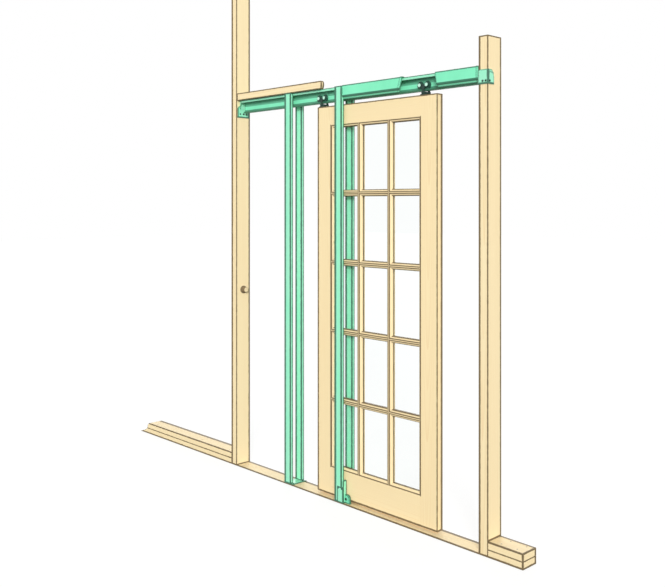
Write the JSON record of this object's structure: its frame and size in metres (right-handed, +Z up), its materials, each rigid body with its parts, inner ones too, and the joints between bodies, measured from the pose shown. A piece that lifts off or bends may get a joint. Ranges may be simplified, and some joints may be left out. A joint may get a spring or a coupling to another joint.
{
  "type": "pocket door frame",
  "caption": "Timber and steel pocket door frame with a header track, split steel studs, and a glazed wooden door that slides on wheeled hangers into the pocket.",
  "frame": {"origin": "centre of the left stud's foot, on the floor", "axes": "+X along the wall from the pocket to the doorway, +Y to the back of the wall, +Z up"},
  "size_m": [3.052, 0.104, 2.8],
  "materials": {
    "frame_timber": "sawn pale softwood",
    "door_timber": "planed pale softwood",
    "green_steel": "satin mint-green paint",
    "green_guide": "moulded green plastic",
    "hanger_steel": "dark green-black paint",
    "wheel_nylon": "dark green nylon",
    "bumper_rubber": "tan rubber",
    "door_glass": "clear"
  },
  "bodies": {
    "frame": {"left_stud": "frame_timber", "right_stud": "frame_timber", "left_sole_plate_lower": "frame_timber", "left_sole_plate_upper": "frame_timber", "right_sole_plate_lower": "frame_timber", "right_sole_plate_upper": "frame_timber", "floor_strip": "frame_timber", "nailing_strip": "frame_timber", "bumper": "bumper_rubber", "track_head": "green_steel", "track_rail": "green_steel", "left_end_bracket": "green_steel", "right_end_bracket": "green_steel", "front_cover_left": "green_steel", "front_cover_right": "green_steel", "back_cover": "green_steel", "pocket_stud_front": "green_steel", "pocket_stud_back": "green_steel", "jamb_stud_front": "green_steel", "jamb_stud_back": "green_steel", "pocket_foot_bracket": "green_steel", "jamb_shoe_front": "green_steel", "jamb_shoe_back": "green_steel", "door_guide_front": "green_guide", "door_guide_back": "green_guide"},
    "door": {"door_stile_left": "door_timber", "door_stile_right": "door_timber", "door_bottom_rail": "door_timber", "door_top_rail": "door_timber", "upright_bar_left": "door_timber", "upright_bar_right": "door_timber", "cross_bars": "door_timber", "glass_panes": "door_glass", "left_hanger_plate": "hanger_steel", "left_hanger_yoke": "hanger_steel", "right_hanger_plate": "hanger_steel", "right_hanger_yoke": "hanger_steel"},
    "left_hanger_front_wheel_1": {"left_hanger_front_wheel_1": "wheel_nylon"},
    "left_hanger_front_wheel_2": {"left_hanger_front_wheel_2": "wheel_nylon"},
    "left_hanger_back_wheel_1": {"left_hanger_back_wheel_1": "wheel_nylon"},
    "left_hanger_back_wheel_2": {"left_hanger_back_wheel_2": "wheel_nylon"},
    "right_hanger_front_wheel_1": {"right_hanger_front_wheel_1": "wheel_nylon"},
    "right_hanger_front_wheel_2": {"right_hanger_front_wheel_2": "wheel_nylon"},
    "right_hanger_back_wheel_1": {"right_hanger_back_wheel_1": "wheel_nylon"},
    "right_hanger_back_wheel_2": {"right_hanger_back_wheel_2": "wheel_nylon"}
  },
  "joints": [
    {"name": "door_slide", "type": "slide", "parent": "frame", "child": "door", "axis": [1, 0, 0], "range_m": [-0.637, 0.248]},
    {"name": "left_front_wheel_1_spin", "type": "hinge", "parent": "door", "child": "left_hanger_front_wheel_1", "pos_m": [0.7075, -0.0135, 2.1018], "axis": [0, 1, 0], "continuous": true},
    {"name": "left_front_wheel_2_spin", "type": "hinge", "parent": "door", "child": "left_hanger_front_wheel_2", "pos_m": [0.7505, -0.0135, 2.1018], "axis": [0, 1, 0], "continuous": true},
    {"name": "left_back_wheel_1_spin", "type": "hinge", "parent": "door", "child": "left_hanger_back_wheel_1", "pos_m": [0.7075, 0.0135, 2.1018], "axis": [0, 1, 0], "continuous": true},
    {"name": "left_back_wheel_2_spin", "type": "hinge", "parent": "door", "child": "left_hanger_back_wheel_2", "pos_m": [0.7505, 0.0135, 2.1018], "axis": [0, 1, 0], "continuous": true},
    {"name": "right_front_wheel_1_spin", "type": "hinge", "parent": "door", "child": "right_hanger_front_wheel_1", "pos_m": [1.4115, -0.0135, 2.1018], "axis": [0, 1, 0], "continuous": true},
    {"name": "right_front_wheel_2_spin", "type": "hinge", "parent": "door", "child": "right_hanger_front_wheel_2", "pos_m": [1.4545, -0.0135, 2.1018], "axis": [0, 1, 0], "continuous": true},
    {"name": "right_back_wheel_1_spin", "type": "hinge", "parent": "door", "child": "right_hanger_back_wheel_1", "pos_m": [1.4115, 0.0135, 2.1018], "axis": [0, 1, 0], "continuous": true},
    {"name": "right_back_wheel_2_spin", "type": "hinge", "parent": "door", "child": "right_hanger_back_wheel_2", "pos_m": [1.4545, 0.0135, 2.1018], "axis": [0, 1, 0], "continuous": true}
  ],
  "couplings": [
    {"joint": "left_front_wheel_1_spin", "follows": "door_slide", "rad_per_m": 54.054},
    {"joint": "left_front_wheel_2_spin", "follows": "door_slide", "rad_per_m": 54.054},
    {"joint": "left_back_wheel_1_spin", "follows": "door_slide", "rad_per_m": 54.054},
    {"joint": "left_back_wheel_2_spin", "follows": "door_slide", "rad_per_m": 54.054},
    {"joint": "right_front_wheel_1_spin", "follows": "door_slide", "rad_per_m": 54.054},
    {"joint": "right_front_wheel_2_spin", "follows": "door_slide", "rad_per_m": 54.054},
    {"joint": "right_back_wheel_1_spin", "follows": "door_slide", "rad_per_m": 54.054},
    {"joint": "right_back_wheel_2_spin", "follows": "door_slide", "rad_per_m": 54.054}
  ]
}
